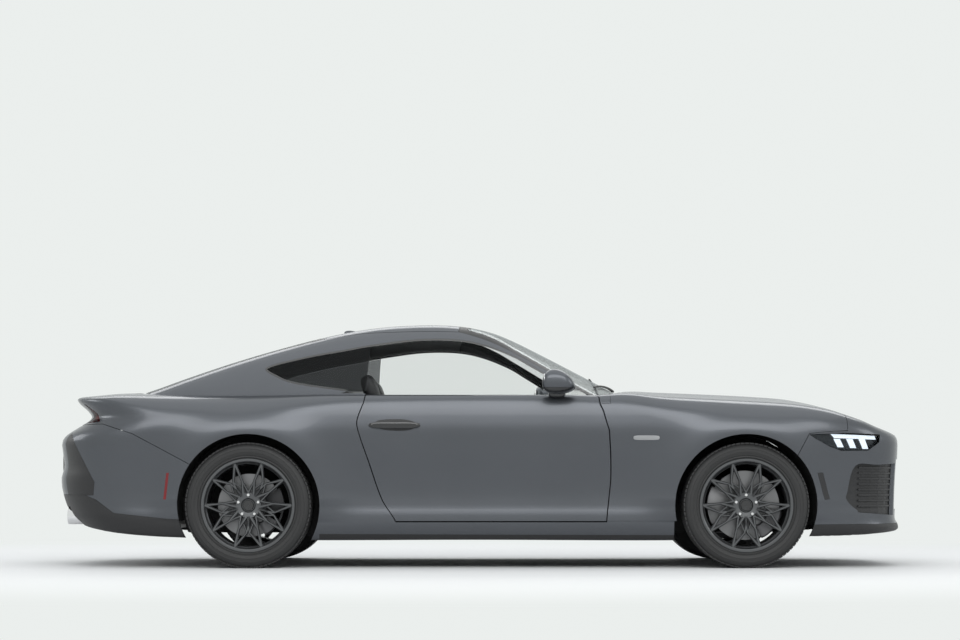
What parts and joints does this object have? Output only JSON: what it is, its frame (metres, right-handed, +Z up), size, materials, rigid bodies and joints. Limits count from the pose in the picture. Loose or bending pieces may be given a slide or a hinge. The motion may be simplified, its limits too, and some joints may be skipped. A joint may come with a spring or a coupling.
{
  "type": "coupe car",
  "caption": "Two-door fastback coupe with a long hood, opening doors, hood and trunk lid, steered front wheels, spoked alloy rims and a trimmed cabin.",
  "frame": {"origin": "on the ground, at the middle of the bounding box's base", "axes": "+X forwards along the car, +Y to the car's left, +Z up"},
  "size_m": [4.8001, 2.0594, 1.3919],
  "materials": {
    "body_paint": "dark grey metallic, glossy",
    "window_glass": "lightly tinted",
    "clear_lens": "clear",
    "red_lens": "red lens",
    "black_plastic": "fine grain",
    "cabin_trim": "soft grain",
    "seat_leather": "matt",
    "wheel_leather": "smooth",
    "floor_metal": "satin, carpeted above",
    "chassis_steel": "satin black",
    "cast_metal": "as cast",
    "exhaust_steel": "dull",
    "wheel_alloy": "dark satin",
    "tyre": "matt"
  },
  "bodies": {
    "body": {"floor_pan": "floor_metal", "left_body_side": "body_paint", "right_body_side": "body_paint", "roof": "body_paint", "windshield": "window_glass", "rear_window": "window_glass", "quarter_windows": "window_glass", "left_fender": "body_paint", "right_fender": "body_paint", "front_bumper": "body_paint", "grille": "black_plastic", "headlamps": "clear_lens", "rear_bumper": "body_paint", "plate_holder": "black_plastic", "tail_lamps": "red_lens", "arch_liners": "black_plastic", "cowl": "black_plastic", "front_subframe": "chassis_steel", "rear_subframe": "chassis_steel", "engine": "cast_metal", "exhaust": "exhaust_steel", "driver_seat": "seat_leather", "passenger_seat": "seat_leather", "rear_seat": "seat_leather", "parcel_shelf": "cabin_trim", "dashboard": "cabin_trim"},
    "hood": {"hood": "body_paint"},
    "trunk_lid": {"trunk_lid": "body_paint"},
    "left_door": {"left_door": "body_paint", "left_door_glass": "window_glass", "left_mirror": "body_paint"},
    "right_door": {"right_door": "body_paint", "right_door_glass": "window_glass", "right_mirror": "body_paint"},
    "steering_wheel": {"steering_wheel": "wheel_leather"},
    "front_left_knuckle": {"front_left_knuckle": "cast_metal"},
    "front_right_knuckle": {"front_right_knuckle": "cast_metal"},
    "front_left_wheel": {"front_left_rim": "wheel_alloy", "front_left_tyre": "tyre"},
    "front_right_wheel": {"front_right_rim": "wheel_alloy", "front_right_tyre": "tyre"},
    "rear_left_wheel": {"rear_left_rim": "wheel_alloy", "rear_left_tyre": "tyre"},
    "rear_right_wheel": {"rear_right_rim": "wheel_alloy", "rear_right_tyre": "tyre"}
  },
  "joints": [
    {"name": "left_door_hinge", "type": "hinge", "parent": "body", "child": "left_door", "pos_m": [0.638, 0.868, 0.6], "axis": [0, 0, -1], "range_deg": [0, 65]},
    {"name": "right_door_hinge", "type": "hinge", "parent": "body", "child": "right_door", "pos_m": [0.638, -0.868, 0.6], "axis": [0, 0, 1], "range_deg": [0, 65]},
    {"name": "hood_hinge", "type": "hinge", "parent": "body", "child": "hood", "pos_m": [0.712, 0, 0.955], "axis": [0, -1, 0], "range_deg": [0, 52]},
    {"name": "trunk_hinge", "type": "hinge", "parent": "body", "child": "trunk_lid", "pos_m": [-1.912, 0, 0.962], "axis": [0, 1, 0], "range_deg": [0, 70]},
    {"name": "left_steer", "type": "hinge", "parent": "body", "child": "front_left_knuckle", "pos_m": [1.4545, 0.755, 0.343], "axis": [0, 0, 1], "range_deg": [-32, 32]},
    {"name": "right_steer", "type": "hinge", "parent": "body", "child": "front_right_knuckle", "pos_m": [1.4545, -0.755, 0.343], "axis": [0, 0, 1], "range_deg": [-32, 32]},
    {"name": "steering_wheel_turn", "type": "hinge", "parent": "body", "child": "steering_wheel", "pos_m": [0.56, 0.402, 0.8], "axis": [-0.9272, 0, 0.3746], "range_deg": [-448, 448]},
    {"name": "front_left_spin", "type": "hinge", "parent": "front_left_knuckle", "child": "front_left_wheel", "pos_m": [1.4545, 0.795, 0.343], "axis": [0, 1, 0], "continuous": true},
    {"name": "front_right_spin", "type": "hinge", "parent": "front_right_knuckle", "child": "front_right_wheel", "pos_m": [1.4545, -0.795, 0.343], "axis": [0, 1, 0], "continuous": true},
    {"name": "rear_left_spin", "type": "hinge", "parent": "body", "child": "rear_left_wheel", "pos_m": [-1.2655, 0.808, 0.343], "axis": [0, 1, 0], "continuous": true},
    {"name": "rear_right_spin", "type": "hinge", "parent": "body", "child": "rear_right_wheel", "pos_m": [-1.2655, -0.808, 0.343], "axis": [0, 1, 0], "continuous": true}
  ],
  "couplings": [
    {"joint": "right_steer", "follows": "left_steer", "ratio": 1},
    {"joint": "steering_wheel_turn", "follows": "left_steer", "ratio": 14}
  ]
}
